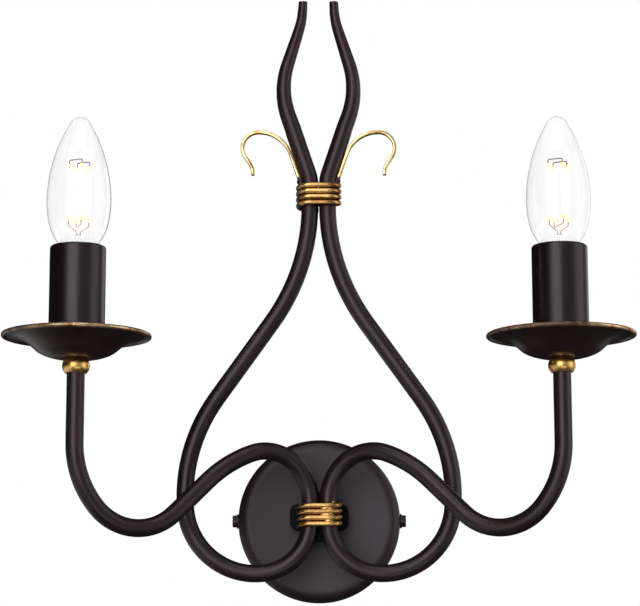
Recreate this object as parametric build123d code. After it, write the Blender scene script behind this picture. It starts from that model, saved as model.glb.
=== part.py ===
from build123d import *
import os
from math import atan2, cos, degrees, radians, sin, sqrt, tan

# Double arm wall sconce, mm.  Origin: centre of the bracket's wall side.  The wall is Y = 0,
# the lamp stands out towards -Y, +Z is up and +X is the lamp's right side seen from the room.

# ---- main sizes ----------------------------------------------------------------------------
lamp_width = 349.4        # over both drip pans
lamp_rise = 308.0         # centre of the bracket up to the tips of the horns
tube_depth = 47.0         # wall to the axes of the paired tubes
pan_seat_z = 83.0         # height of the drip pans' seats

# ---- iron tubes and rods -------------------------------------------------------------------
straight_up = 180.0       # headings are degrees from straight down towards the outside
tube_r = 5.0              # arm tube and bow rod
tube_wall = 1.0
pair_gap = 0.4            # between the two tubes where they run side by side
arm_turn = 25.5           # each arm's plane is turned forward by this many degrees
joint_z = 1.0             # butt joint of bow and arm, under the lower binding
braze_gap = 0.05          # round what is brazed, tapped or pressed

# arm: up out of the lower binding, over a loop, down to a deep bow and up to the candle
drawn_reach = 142.8       # the reach that these bends are drawn for; they scale with the arm
arm_start_z = 9.6
loop_r = 27.3
loop_end = 70.0
shoulder_r = 78.4
shoulder_end = 46.7
elbow_r = 31.8
elbow_end = 138.6
rise_r = 53.0

# bow: down out of the upper binding, round a drop shape and up into the lower binding
drawn_rise = 308.0        # the rise that these bends and the horn's are drawn for
bow_height = 182.0        # joint up to where the bow leaves the other
spread_r = 120.0
spread_end = 35.5
flank_r = 96.0
flank_end = 4.7
belly_r = 40.6
belly_end = 96.8
return_r = 29.9
spigot_r = 3.95
spigot_length = 7.0

# horn: the rod's free end above the upper binding, drawn out to a blunt tip
horn_rise = 13.5          # above the bow's upper end
horn_foot_r = 18.0
horn_lean = 18.5
horn_run = 37.5
horn_plain = 26.0         # part of the run that keeps the full rod size
horn_waist_r = 51.0
horn_close = 17.3
horn_reach = 21.5
horn_tip_bend_r = 61.7
horn_tip_r = 2.65
horn_stations = 10
horn_taper = 1.2          # the taper quickens towards the tip

# ---- wire bindings ------------------------------------------------------------------------
wire_r = 1.5
wire_pitch = 3.5
wire_turns = 4
wire_clear = 0.2
upper_binding_rise = 6.0  # above the bow's upper end

# ---- brass curls --------------------------------------------------------------------------
strip_thick = 2.0
strip_width = 3.2
strip_gap = 0.1
curl_rise = 1.7           # foot of the curl above the foot of the horn
curl_top_r = 20.0
curl_hug = 14.5           # stretch of the strip that lies along the horn
curl_hook_r = 9.6
curl_hook_end = 214.0     # heading from straight up, turning outwards and over
curl_run = 5.0
curl_tail_r = 10.0
curl_tail_run = 1.5

# ---- backplate, block and bracket -----------------------------------------------------------
plate_r = 47.6
plate_depth = 24.0
plate_wall = 1.2
plate_edge_r = 7.0
block_width = 34.0
block_height = 14.5
block_corner_r = 4.5
block_gap = 0.5           # between the block's front and the back of the binding
pad_width = 18.0
lip_height = 5.0
lip_gap = 0.4
lip_rise = 2.0            # how far a lip stops short of the tubes' axes
wire_bore_r = 2.0
grommet_r = 2.8
block_screw_x = 12.0
block_screw_length = 9.0
strap_thick = 2.0
strap_length = 84.0
strap_width = 20.0
strap_corner_r = 4.0
slot_spacing = 60.0
slot_length = 12.0
slot_width = 4.5
cable_hole_r = 5.5
ear_width = 10.0
ear_length = 19.0
ear_gap = 0.35            # between ear and backplate wall
ear_bend_r = 1.5
side_screw_depth = 13.0

# ---- screws ---------------------------------------------------------------------------------
screw_r = 2.0
screw_fit = 0.05          # running fit in a tapped hole
screw_clear = 0.35        # in a plain hole
head_r = 3.5
head_height = 2.4
drive_slot = 1.2
drive_depth = 1.2
head_edge_r = 0.3
screw_point = 0.3
side_screw_length = 12.0
washer_r = 4.2
washer_thick = 1.0
washer_fit = 0.08

# ---- terminal block ---------------------------------------------------------------------------
terminal_x = -15.0
terminal_width = 15.0
terminal_length = 27.5
terminal_height = 11.5
terminal_pitch = 9.0
terminal_tube_r = 2.4
terminal_bore_r = 1.6
terminal_screw_r = 1.4
terminal_screw_length = 4.0
terminal_screw_offset = 4.0
terminal_axis_height = 5.0
terminal_sink = 2.5       # the fixing screw's head lies this deep
terminal_corner_r = 1.0
terminal_edge_r = 0.6
terminal_well_clear = 0.6
terminal_head_clear = 0.4
terminal_groove = 0.9
terminal_groove_depth = 2.5
earth_x = 15.0
earth_washer_r = 4.6
earth_screw_length = 3.6

# ---- candle: bead, pan, nut, lampholder, sleeve; heights from the pan's seat -------------------
bead_r = 7.65
bead_end_r = 6.0
bead_height = 8.0
pan_sheet = 1.0
pan_flat_r = 8.3
pan_bend_r = 12.0         # first bend, from the flat seat to the bowl's floor
pan_floor_slope = 22.0
pan_floor_r = 19.5        # the floor ends at this distance from the axis
pan_wall_bend_r = 9.0
pan_wall_slope = 58.0
pan_shoulder_r = 6.0      # bend from the bowl's wall out to the flat rim
pan_rim_slope = 9.0
pan_rim_r = 40.6
pan_lip_r = 0.95
nut_across = 14.0
nut_height = 3.0
holder_foot_r = 9.5
holder_foot_height = 3.0
holder_stalk_r = 7.6
holder_grip = 8.0         # how far the arm's end enters the holder
holder_shoulder_z = 25.0
holder_slope = 5.0
holder_floor = 2.5
holder_depth = 24.0       # from the floor to the rim
shell_wall = 0.4
shell_lift = 4.5          # thread shell's foot above the floor
thread_fit = 0.075        # bulb cap in the thread shell
sleeve_r = 15.6
sleeve_wall = 1.6
sleeve_rise = 9.2         # above the holder's rim
sleeve_edge_r = 1.5
sleeve_gap = 0.2
sleeve_seat = 0.1
tongue_thick = 0.4
tongue_width = 3.6
tongue_length = 5.0
tongue_clear = 0.3

# ---- bulb ---------------------------------------------------------------------------------------
glass_wall = 0.8
glass_r = 18.0
glass_rise = 32.9         # neck's foot to the widest place
glass_hip_r = 55.0        # bends below the widest place, in to the neck
glass_hip_lean = 14.0
glass_shoulder_r = 27.0
glass_neck_lean = 42.0
glass_flame_r = 90.0      # bend above it, up to the nose
glass_flame_lean = 28.0
glass_nose_r = 6.5
cap_r = 6.945
cap_wall = 0.3
cap_lift = 8.5            # cap's foot above the holder's floor
cap_length = 19.1
cap_cone = 1.5
cap_grip = 2.0            # how deep the neck stands in the cap
cap_glue = 0.05
insulator_r = 3.4
insulator_height = 3.2
insulator_lip = 1.0
contact_r = 2.4
contact_height = 1.5
stem_gap = 0.1            # between the stem's foot and the neck's
stem_height = 14.3
stem_r = 2.4
stem_flare_r = 5.2
stem_flare = 6.0          # height of the flare
stem_hollow = 5.0
filament_r = 0.8
filament_lift = 7.5       # above the stem's top
filament_length = 32.0
filament_circle = 5.8
filament_count = 4
filament_turn = 20.0
lead_r = 0.3
lead_sides = 6
lead_gap = 0.15
lead_root = 1.1           # leads leave the stem's top this far from its axis
lead_sink = 1.0
lead_rise = 1.5           # straight stretch above the stem
lead_hook = 2.4           # height of the hooks that carry the filaments
lead_bend_r = 0.8

pair_x = tube_r + pair_gap / 2
candle_x = lamp_width / 2 - pan_rim_r
candle_y = -tube_depth - (candle_x - pair_x) * tan(radians(arm_turn))
arm_reach = (candle_x - pair_x) / cos(radians(arm_turn))
arm_scale = arm_reach / drawn_reach
rise_scale = (lamp_rise - joint_z) / (drawn_rise - joint_z)
lower_binding_z = joint_z
bow_start_z = joint_z + bow_height * rise_scale
upper_binding_z = bow_start_z + upper_binding_rise
horn_start_z = bow_start_z + horn_rise
holder_base_z = pan_sheet + nut_height
holder_floor_z = holder_shoulder_z + holder_slope
holder_top_z = holder_floor_z + holder_depth
cap_base_z = holder_floor_z + cap_lift
cap_top_z = cap_base_z + cap_length
insulator_base_z = cap_base_z - insulator_height
glass_neck_z = cap_top_z - cap_grip
stem_top_z = glass_neck_z + stem_gap + stem_height
filament_low_z = stem_top_z + filament_lift
sleeve_bore_r = sleeve_r - sleeve_wall
shell_r = cap_r + thread_fit
block_front = tube_depth - tube_r - wire_clear - 2 * wire_r - block_gap
wall_side = Plane.XZ      # local x, y, z = world X, Z and the distance from the wall


# ---- bent centrelines -------------------------------------------------------------------------
def step(x, z, heading, move):
    """New place, and the move's middle, after a run or a bend in the flat."""
    a = radians(heading)
    if move[0] == "run":
        end = (x + move[1] * sin(a), z - move[1] * cos(a))
        return end, ((x + end[0]) / 2, (z + end[1]) / 2), heading
    radius, new = move[1], move[2]
    side = 1 if new > heading else -1
    centre = (x + radius * cos(a) * side, z + radius * sin(a) * side)

    def at(angle):
        return (centre[0] - radius * cos(angle) * side, centre[1] - radius * sin(angle) * side)

    return at(radians(new)), at((a + radians(new)) / 2), new


def centreline(start, heading, moves, place):
    """Lines and arcs through the moves, laid into space by place(x, z)."""
    x, z = start
    edges = []
    for move in moves:
        end, middle, new = step(x, z, heading, move)
        if move[0] == "run":
            edges.append(Line(place(x, z), place(*end)))
        else:
            edges.append(ThreePointArc(place(x, z), place(*middle), place(*end)))
        (x, z), heading = end, new
    return Wire(edges)


def scaled(moves, factor):
    """The same bends, drawn larger or smaller."""
    return [(move[0], move[1] * factor) + move[2:] for move in moves]


def travel(start, heading, moves):
    """Where a chain of moves ends."""
    x, z = start
    for move in moves:
        (x, z), _, heading = step(x, z, heading, move)
    return x, z


def flat(x, z):
    return Vector(x, z)


def in_arm_plane(x, z):
    """Right arm's plane: x is measured from the paired tube's axis."""
    turn = radians(arm_turn)
    return Vector(pair_x + x * cos(turn), -tube_depth - x * sin(turn), z)


def in_bow_plane(x, z):
    return Vector(pair_x + x, -tube_depth, z)


def section(path, at, radius, inner=0.0):
    """Round or ring section square to a path."""
    across = Plane(origin=path @ at, x_dir=(0, 1, 0), z_dir=path % at)
    if abs((path % at).Y) > 0.01:
        across = Plane(origin=path @ at, z_dir=path % at)
    shape = across * Circle(radius)
    if inner > 0:
        shape -= across * Circle(inner)
    return shape


def rod(path, radius, inner=0.0):
    return sweep(section(path, 0, radius, inner), path=path)


def arm_path():
    before = scaled([("arc", loop_r, loop_end), ("arc", shoulder_r, shoulder_end)], arm_scale)
    after = scaled([("arc", elbow_r, elbow_end), ("arc", rise_r, straight_up)], arm_scale)
    x_before = travel((0, 0), straight_up, before)[0]
    x_after = travel((0, 0), shoulder_end, after)[0]
    slant = (arm_reach - x_before - x_after) / sin(radians(shoulder_end))
    moves = before + [("run", slant)] + after
    foot = ("run", arm_start_z - joint_z)
    low_z = travel((0, arm_start_z), straight_up, moves)[1]
    top_z = pan_seat_z + holder_base_z + holder_grip
    return centreline((0, joint_z), straight_up, [foot] + moves + [("run", top_z - low_z)], in_arm_plane)


def bow_path():
    """From the horn's foot down round the drop to the joint."""
    collar = ("run", horn_start_z - bow_start_z)
    before = scaled([("arc", spread_r, spread_end)], rise_scale)
    after = [("arc", flank_r, -flank_end), ("arc", belly_r, -belly_end), ("arc", return_r, -straight_up)]
    after = scaled(after, rise_scale)
    x_before = travel((0, 0), 0, before)[0]
    x_after = travel((0, 0), spread_end, after)[0]
    slant = -(x_before + x_after) / sin(radians(spread_end))
    moves = before + [("run", slant)] + after
    end_z = travel((0, bow_start_z), 0, moves)[1]
    moves = [collar] + moves + [("run", joint_z - end_z)]
    return centreline((0, horn_start_z), 0, moves, in_bow_plane)


def horn_moves():
    plain = [("arc", horn_foot_r, straight_up - horn_lean), ("run", horn_plain)]
    drawn = [("run", horn_run - horn_plain), ("arc", horn_waist_r, straight_up + horn_close),
             ("run", horn_reach), ("arc", horn_tip_bend_r, straight_up)]
    return scaled(plain, rise_scale), scaled(drawn, rise_scale)


# ---- ironwork ---------------------------------------------------------------------------------
def bore_through(x, z, radius, near, far):
    """Cylinder square to the wall between two distances from it."""
    length = far - near
    return wall_side * Pos(x, z, near + length / 2) * Cylinder(radius, length)


def wire_entry_z():
    return lower_binding_z + wire_turns / 2 * wire_pitch + wire_r + lip_gap + lip_height / 2


def arm():
    tube = rod(arm_path(), tube_r, tube_r - tube_wall)
    return tube - bore_through(pair_x, wire_entry_z(), wire_bore_r, tube_depth - 2 * tube_r, tube_depth)


def bow():
    body = rod(bow_path(), tube_r)
    plain, drawn = horn_moves()
    body += rod(centreline((0, horn_start_z), straight_up, plain, in_bow_plane), tube_r)
    taper_start = travel((0, horn_start_z), straight_up, plain)
    taper = centreline(taper_start, straight_up - horn_lean, drawn, in_bow_plane)
    rings = []
    for i in range(horn_stations + 1):
        t = i / horn_stations
        radius = tube_r + (horn_tip_r - tube_r) * t ** horn_taper
        rings.append(section(taper, t, radius))
    body += loft(rings)
    spigot = Pos(pair_x, -tube_depth, joint_z + spigot_length / 2) * Cylinder(spigot_r, spigot_length)
    return body + spigot


def binding_edges(mid_z):
    """Four turns round both tubes; each side turn is two quarter arcs that meet smoothly."""
    turn_r = tube_r + wire_clear + wire_r
    drop = wire_pitch / 4
    side_x = pair_x + sqrt(turn_r ** 2 + drop ** 2)
    z = mid_z + wire_turns / 2 * wire_pitch
    back, front = -tube_depth + turn_r, -tube_depth - turn_r
    edges = [Line((0, back, z), (pair_x, back, z))]
    for turn in range(wire_turns):
        for side, y0, y1 in ((1, back, front), (-1, front, back)):
            flank = (side * side_x, -tube_depth, z - drop)
            first = TangentArc((side * pair_x, y0, z), flank, tangent=(side, 0, 0))
            z -= 2 * drop
            second = TangentArc(first @ 1, (side * pair_x, y1, z), tangent=first % 1)
            last = turn == wire_turns - 1 and side < 0
            across = Line((side * pair_x, y1, z), (0 if last else -side * pair_x, y1, z))
            edges += [first, second, across]
    return edges


def least_gap(path):
    """Least clear space between one turn of a wound wire and another."""
    count = 400
    points = [path @ (i / count) for i in range(count + 1)]
    skip = int(count / wire_turns / 2)
    nearest = min((points[i] - points[j]).length
                  for i in range(count + 1) for j in range(i + skip, count + 1))
    return nearest - 2 * wire_r


def binding(mid_z):
    path = Wire(binding_edges(mid_z))
    print("binding at", mid_z, "least gap between turns", round(least_gap(path), 3))
    return sweep(Plane(origin=path @ 0, z_dir=path % 0) * Circle(wire_r), path=path)


def curl():
    """Flat brass strip: up the horn's flank, over and down to a free end."""
    offset_x = tube_r + strip_gap + strip_thick / 2
    hug_r = horn_foot_r * rise_scale - offset_x
    first = straight_up - degrees(atan2(curl_rise, hug_r))
    moves = [("arc", hug_r, straight_up - horn_lean), ("run", curl_hug), ("arc", curl_top_r, 90),
             ("arc", curl_hook_r, straight_up - curl_hook_end), ("run", curl_run),
             ("arc", curl_tail_r, 0), ("run", curl_tail_run)]
    start = travel((offset_x, horn_start_z), straight_up, [("arc", hug_r, first)])
    path = centreline(start, first, moves, in_bow_plane)
    across = Plane(origin=path @ 0, x_dir=(0, 1, 0), z_dir=path % 0)
    return sweep(across * Rectangle(strip_width, strip_thick), path=path)


def mounting_block():
    """Iron block between backplate and tubes, with a lip brazed to the tubes above and below the binding."""
    depth = block_front - plate_depth
    reach = wire_turns / 2 * wire_pitch + wire_r + lip_gap
    bar = extrude(RectangleRounded(block_width, block_height, block_corner_r), depth)
    pad = extrude(Rectangle(pad_width, 2 * (reach + lip_height)), depth)
    lips = Part()
    for side in (-1, 1):
        lip = extrude(Rectangle(pad_width, lip_height), tube_depth - lip_rise - block_front)
        lips += Pos(0, side * (reach + lip_height / 2), depth) * lip
    block = wall_side * Pos(0, lower_binding_z, plate_depth) * (bar + pad + lips)
    right = rod(arm_path(), tube_r + braze_gap) + rod(bow_path(), tube_r + braze_gap)
    block -= right
    block -= mirror(right, about=Plane.YZ)
    for side in (-1, 1):
        block -= bore_through(side * pair_x, wire_entry_z(), wire_bore_r, plate_depth - 1, tube_depth)
        block -= bore_through(side * block_screw_x, lower_binding_z, screw_r + screw_fit,
                              plate_depth - 1, plate_depth + block_screw_length)
    return block


# ---- backplate, bracket and what is inside ----------------------------------------------------
def cup(radius, depth, edge_r):
    solid = wall_side * Cylinder(radius, depth, align=(Align.CENTER, Align.CENTER, Align.MIN))
    return fillet(solid.edges().group_by(Axis.Y)[0], edge_r)


def along_x(x0, x1, z, depth, radius):
    return Pos((x0 + x1) / 2, -depth, z) * Rot(0, 90, 0) * Cylinder(radius, abs(x1 - x0))


def backplate():
    plate = cup(plate_r, plate_depth, plate_edge_r)
    plate -= cup(plate_r - plate_wall, plate_depth - plate_wall, plate_edge_r - plate_wall)
    plate -= along_x(-plate_r - 1, plate_r + 1, 0, side_screw_depth, screw_r + screw_clear)
    for side in (-1, 1):
        plate -= bore_through(side * pair_x, wire_entry_z(), grommet_r, plate_depth - 3, plate_depth + 1)
        plate -= bore_through(side * block_screw_x, lower_binding_z, screw_r + screw_clear,
                              plate_depth - 3, plate_depth + 1)
    return plate


def ear_face_x():
    """Outer face of an ear, inside the backplate's round wall."""
    return sqrt((plate_r - plate_wall - ear_gap) ** 2 - (ear_width / 2) ** 2)


def wall_bracket():
    x = ear_face_x()
    t = strap_thick
    outline = Polyline((-x, -ear_length), (-x, 0), (x, 0), (x, -ear_length), (x - t, -ear_length),
                       (x - t, -t), (-x + t, -t), (-x + t, -ear_length), close=True)
    bent = make_face(outline)
    corners = bent.vertices()
    bent = fillet([v for v in corners if abs(v.Y) < 0.01], ear_bend_r + t)
    bent = fillet([v for v in bent.vertices() if abs(v.Y + t) < 0.01 and abs(abs(v.X) - x + t) < 0.01],
                  ear_bend_r)
    strap = Pos(0, 0, -ear_width / 2) * extrude(bent, ear_width)
    flat = extrude(RectangleRounded(strap_length, strap_width, strap_corner_r), t)
    strap += wall_side * flat
    for side in (-1, 1):
        slot = extrude(SlotOverall(slot_length, slot_width), t + 2)
        strap -= wall_side * Pos(side * slot_spacing / 2, 0, -1) * slot
    strap -= bore_through(0, 0, cable_hole_r, -1, t + 1)
    strap -= bore_through(earth_x, 0, screw_r + screw_fit, -1, t + 1)
    strap -= bore_through(terminal_x, terminal_pitch / 2, terminal_screw_r + screw_fit, -1, t + 1)
    strap -= along_x(-x - 1, x + 1, 0, side_screw_depth, screw_r + screw_fit)
    return strap


def cheese_screw(shaft_r, length, cap_radius, cap_height, slot, slot_depth):
    """Slotted screw pointing down -Z with the underside of its head at the origin."""
    head = Pos(0, 0, cap_height / 2) * Cylinder(cap_radius, cap_height)
    head = fillet(head.edges().group_by(Axis.Z)[-1], head_edge_r)
    head -= Pos(0, 0, cap_height) * Box(2 * cap_radius + 1, slot, 2 * slot_depth)
    shaft = Pos(0, 0, -length / 2) * Cylinder(shaft_r, length)
    shaft = chamfer(shaft.edges().group_by(Axis.Z)[0], screw_point)
    return head + shaft


def side_screw():
    """Right side screw, its axis along X."""
    screw = cheese_screw(screw_r, side_screw_length, head_r, head_height, drive_slot, drive_depth)
    return Pos(plate_r + washer_fit + washer_thick, -side_screw_depth, 0) * Rot(0, 90, 0) * screw


def side_washer():
    ring = Cylinder(washer_r, washer_thick) - Cylinder(screw_r + washer_fit, washer_thick)
    return Pos(plate_r + washer_fit + washer_thick / 2, -side_screw_depth, 0) * Rot(0, 90, 0) * ring


def facing_room(x, z, depth, item):
    """Put a +Z-up item on a face that looks into the room."""
    return wall_side * Pos(x, z, depth) * item


def block_screws():
    screws = []
    for side in (-1, 1):
        screw = cheese_screw(screw_r, block_screw_length + plate_wall - 0.5, head_r, head_height,
                             drive_slot, drive_depth)
        inside = Pos(side * block_screw_x, lower_binding_z, plate_depth - plate_wall)
        screws.append(wall_side * inside * Rot(180, 0, 0) * screw)
    return Compound(children=screws)


def pole_z(i):
    return (i - 1) * terminal_pitch


def terminal_block():
    body = extrude(RectangleRounded(terminal_width, terminal_length, terminal_corner_r), terminal_height)
    body = fillet(body.edges().group_by(Axis.Z)[-1], terminal_edge_r)
    for i in range(3):
        bore = Rot(0, 90, 0) * Cylinder(terminal_tube_r + braze_gap, terminal_width + 2)
        body -= Pos(0, pole_z(i), terminal_axis_height) * bore
        for side in (-1, 1):
            well = Cylinder(terminal_screw_r + terminal_well_clear, terminal_height,
                            align=(Align.CENTER, Align.CENTER, Align.MIN))
            body -= Pos(side * terminal_screw_offset, pole_z(i), terminal_axis_height) * well
    groove = Box(terminal_width + 2, terminal_groove, 2 * terminal_groove_depth)
    body -= Pos(0, -terminal_pitch / 2, terminal_height) * groove
    fixing = Pos(0, terminal_pitch / 2, 0)
    body -= fixing * Cylinder(terminal_screw_r + screw_clear, 2 * terminal_height + 2)
    sink_r = 2 * terminal_screw_r + terminal_head_clear
    body -= fixing * Pos(0, 0, terminal_height) * Cylinder(sink_r, 2 * terminal_sink)
    return facing_room(terminal_x, 0, strap_thick, body)


def terminal_tubes():
    tubes = []
    for i in range(3):
        tube = Cylinder(terminal_tube_r, terminal_width - 1) - Cylinder(terminal_bore_r, terminal_width)
        tube = Pos(0, pole_z(i), terminal_axis_height) * Rot(0, 90, 0) * tube
        for side in (-1, 1):
            tap = Cylinder(terminal_screw_r + braze_gap, 5, align=(Align.CENTER, Align.CENTER, Align.MIN))
            tube -= Pos(side * terminal_screw_offset, pole_z(i), terminal_axis_height) * tap
        tubes.append(facing_room(terminal_x, 0, strap_thick, tube))
    return Compound(children=tubes)


def terminal_screws():
    screws = []
    for i in range(3):
        for side in (-1, 1):
            screw = Cylinder(terminal_screw_r, terminal_screw_length,
                             align=(Align.CENTER, Align.CENTER, Align.MIN))
            screw -= Pos(0, 0, terminal_screw_length) * Box(4, 0.5, 1.2)
            place = (side * terminal_screw_offset, pole_z(i), terminal_axis_height + terminal_bore_r - 0.4)
            screws.append(facing_room(terminal_x, 0, strap_thick, Pos(*place) * screw))
    return Compound(children=screws)


def terminal_fixing():
    seat = terminal_height - terminal_sink
    screw = cheese_screw(terminal_screw_r, seat + strap_thick - 0.2, 2 * terminal_screw_r, 1.8, 0.7, 0.8)
    return facing_room(terminal_x, terminal_pitch / 2, strap_thick + seat, screw)


def earth_screw():
    screw = cheese_screw(screw_r, earth_screw_length, head_r, head_height, drive_slot, drive_depth)
    return facing_room(earth_x, 0, strap_thick + 2 * washer_thick + braze_gap, screw)


def earth_washers():
    """Cupped washer and flat washer that clamp the earth lead."""
    rings = []
    for i, radius in enumerate((earth_washer_r, earth_washer_r - 0.4)):
        ring = Cylinder(radius, washer_thick, align=(Align.CENTER, Align.CENTER, Align.MIN))
        ring -= Cylinder(screw_r + screw_clear, 3)
        rings.append(facing_room(earth_x, 0, strap_thick + i * (washer_thick + braze_gap), ring))
    return Compound(children=rings)


# ---- candle pieces, drawn on the Z axis ---------------------------------------------------------
def turned(*lines):
    outline = Wire([edge for line in lines for edge in line.edges()])
    return revolve(Plane.XZ * make_face(outline), Axis.Z)


def bead():
    low = -bead_height
    bore = tube_r + braze_gap
    side = ThreePointArc((bead_end_r, low), (bead_r, low / 2), (bead_end_r, 0))
    rest = Polyline((bead_end_r, 0), (bore, 0), (bore, low), (bead_end_r, low))
    return turned(side, rest)


def pan_moves():
    """Middle of the pan's sheet, from its flat seat out to the rim."""
    start = (tube_r + 2 * braze_gap, pan_sheet / 2)
    moves = [("run", pan_flat_r - start[0]), ("arc", pan_bend_r, 90 + pan_floor_slope)]
    x = travel(start, 90, moves)[0]
    moves.append(("run", (pan_floor_r - x) / cos(radians(pan_floor_slope))))
    moves += [("arc", pan_wall_bend_r, 90 + pan_wall_slope), ("arc", pan_shoulder_r, 90 + pan_rim_slope)]
    x = travel(start, 90, moves)[0]
    moves.append(("run", (pan_rim_r - x) / cos(radians(pan_rim_slope))))
    return start, moves


def pan_floor_z(radius):
    """Height of the floor's upper face at a distance from the axis."""
    start, moves = pan_moves()
    x, z = travel(start, 90, moves[:2])
    slope = radians(pan_floor_slope)
    return z + (radius - x) * tan(slope) + pan_sheet / 2 / cos(slope)


def drip_pan():
    start, moves = pan_moves()
    middle = centreline(start, 90, moves, flat)
    sheet = revolve(Plane.XZ * trace(middle, pan_sheet), Axis.Z)
    end = middle @ 1
    lip = Pos(0, 0, end.Y + pan_lip_r - pan_sheet / 2) * Torus(end.X, pan_lip_r)
    return sheet + lip


def locknut():
    nut = extrude(RegularPolygon(nut_across / 2, 6, major_radius=False), nut_height)
    nut -= Cylinder(tube_r + braze_gap, 3 * nut_height)
    return Pos(0, 0, pan_sheet) * nut


def lampholder():
    cup_r = sleeve_bore_r - sleeve_gap
    cavity_r = shell_r + shell_wall + braze_gap
    bore = tube_r + braze_gap
    grip_z = holder_base_z + holder_grip + 0.3
    under_floor = holder_floor_z - holder_floor
    foot_z = holder_base_z + holder_foot_height
    outline = Polyline(
        (bore, holder_base_z), (holder_foot_r, holder_base_z), (holder_foot_r, foot_z),
        (holder_stalk_r, foot_z), (holder_stalk_r, holder_shoulder_z),
        (cup_r, holder_floor_z), (cup_r, holder_top_z), (cavity_r, holder_top_z),
        (cavity_r, holder_floor_z), (wire_bore_r, holder_floor_z), (wire_bore_r, under_floor),
        (tube_r + 1, under_floor), (tube_r + 1, grip_z), (bore, grip_z), close=True)
    return turned(outline)


def thread_shell():
    shell_base_z = holder_floor_z + shell_lift
    outline = Polyline(
        (shell_r, shell_base_z), (shell_r + shell_wall, shell_base_z), (shell_r + shell_wall, holder_top_z),
        (shell_r, holder_top_z), close=True)
    return turned(outline)


def centre_contact():
    """Spring tongue on the holder's floor under the bulb's contact."""
    low = holder_floor_z + tongue_thick / 2
    high = insulator_base_z - contact_height - tongue_clear - tongue_thick / 2
    bend = (high - low) / 2
    line = Wire([Line((-tongue_length, low), (tongue_length - bend, low)),
                 ThreePointArc((tongue_length - bend, low), (tongue_length, low + bend),
                               (tongue_length - bend, high)),
                 Line((tongue_length - bend, high), (-tongue_length / 2, high))])
    return extrude(Plane.XZ * trace(line, tongue_thick), tongue_width / 2, both=True)


def candle_sleeve():
    low = pan_floor_z(sleeve_r) + sleeve_seat
    top = holder_top_z + sleeve_rise
    tube = Pos(0, 0, (low + top) / 2) * Cylinder(sleeve_r, top - low)
    tube = fillet(tube.edges().group_by(Axis.Z)[-1], sleeve_edge_r)
    return tube - Pos(0, 0, (low + top) / 2) * Cylinder(sleeve_bore_r, top)


# ---- bulb pieces, drawn on the Z axis --------------------------------------------------------------
def glass_outline(inset):
    """Half outline of the flame-shaped envelope, from the neck's foot to the tip."""
    neck = cap_r - cap_wall - cap_glue - inset
    widest = (glass_r - inset, glass_neck_z + glass_rise)
    below = [("arc", glass_hip_r - inset, -glass_hip_lean),
             ("arc", glass_shoulder_r - inset, -glass_neck_lean)]
    x = travel(widest, 0, below)[0]
    below.append(("run", (x - neck) / sin(radians(glass_neck_lean))))
    neck_top = travel(widest, 0, below)
    lean = radians(glass_flame_lean)
    nose_r = glass_nose_r - inset
    above = [("arc", glass_flame_r - inset, straight_up + glass_flame_lean)]
    x = travel(widest, straight_up, above)[0]
    above += [("run", (x - nose_r * cos(lean)) / sin(lean)), ("arc", nose_r, 270)]
    lower = centreline(widest, 0, below, flat)
    upper = centreline(widest, straight_up, above, flat)
    foot = (neck, glass_neck_z)
    return [Line(foot, neck_top), lower, upper], foot, travel(widest, straight_up, above)


def bulb_glass():
    outer, outer_foot, outer_tip = glass_outline(0)
    inner, inner_foot, inner_tip = glass_outline(glass_wall)
    return turned(*outer, *inner, Line(outer_foot, inner_foot), Line((0, outer_tip[1]), (0, inner_tip[1])))


def bulb_cap():
    wide, narrow = cap_r - cap_wall, insulator_r + insulator_lip + cap_wall
    cone_z = cap_base_z + cap_cone
    return turned(Polyline(
        (cap_r, cap_top_z), (cap_r, cone_z), (narrow, cap_base_z), (narrow - cap_wall, cap_base_z),
        (narrow - cap_wall, cap_base_z + 0.4), (wide, cone_z + 0.4), (wide, cap_top_z), close=True))


def cap_insulator():
    wide = insulator_r + insulator_lip - cap_glue
    return turned(Polyline(
        (0, cap_base_z + 0.3), (wide, cap_base_z + 0.3), (wide, cap_base_z - 0.4),
        (insulator_r, insulator_base_z), (0, insulator_base_z), close=True))


def tip_contact():
    low = insulator_base_z - contact_height
    dome = ThreePointArc((contact_r, insulator_base_z), (contact_r * 0.8, low + 0.35), (contact_r * 0.4, low))
    rest = Polyline((contact_r * 0.4, low), (0, low), (0, insulator_base_z), (contact_r, insulator_base_z))
    return turned(dome, rest)


def lead_place(i):
    """Where a lead leaves the stem, in line with the filament that it carries."""
    x, y = filament_place(i)
    return x / filament_circle * lead_root, y / filament_circle * lead_root


def bulb_stem():
    """Flared glass stem, domed at the top, with the holes that hold the lead wires."""
    foot_z = glass_neck_z + stem_gap
    spread = stem_flare_r - stem_r
    flare_r = (spread ** 2 + stem_flare ** 2) / (2 * spread)
    flare_end = degrees(atan2(stem_flare, flare_r - spread))
    flare = centreline((stem_r, foot_z + stem_flare), 0, [("arc", flare_r, flare_end)], flat)
    side = Line((stem_r, foot_z + stem_flare), (stem_r, stem_top_z - stem_r))
    top = centreline((stem_r, stem_top_z - stem_r), straight_up, [("arc", stem_r, 270)], flat)
    rest = Polyline((0, stem_top_z), (0, foot_z + stem_hollow), (stem_flare_r - glass_wall, foot_z),
                    (stem_flare_r, foot_z))
    stem = turned(flare, side, top, rest)
    for i in (0, 2):
        x, y = lead_place(i)
        stem -= Pos(x, y, stem_top_z) * Cylinder(lead_r + braze_gap, 2 * lead_sink + braze_gap)
    return stem


def filament_place(i):
    angle = radians(filament_turn + i * 360 / filament_count)
    return filament_circle * cos(angle), filament_circle * sin(angle)


def filaments():
    rods = []
    for i in range(filament_count):
        x, y = filament_place(i)
        rods.append(Pos(x, y, filament_low_z + filament_length / 2) * Cylinder(filament_r, filament_length))
    return Compound(children=rods)


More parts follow.
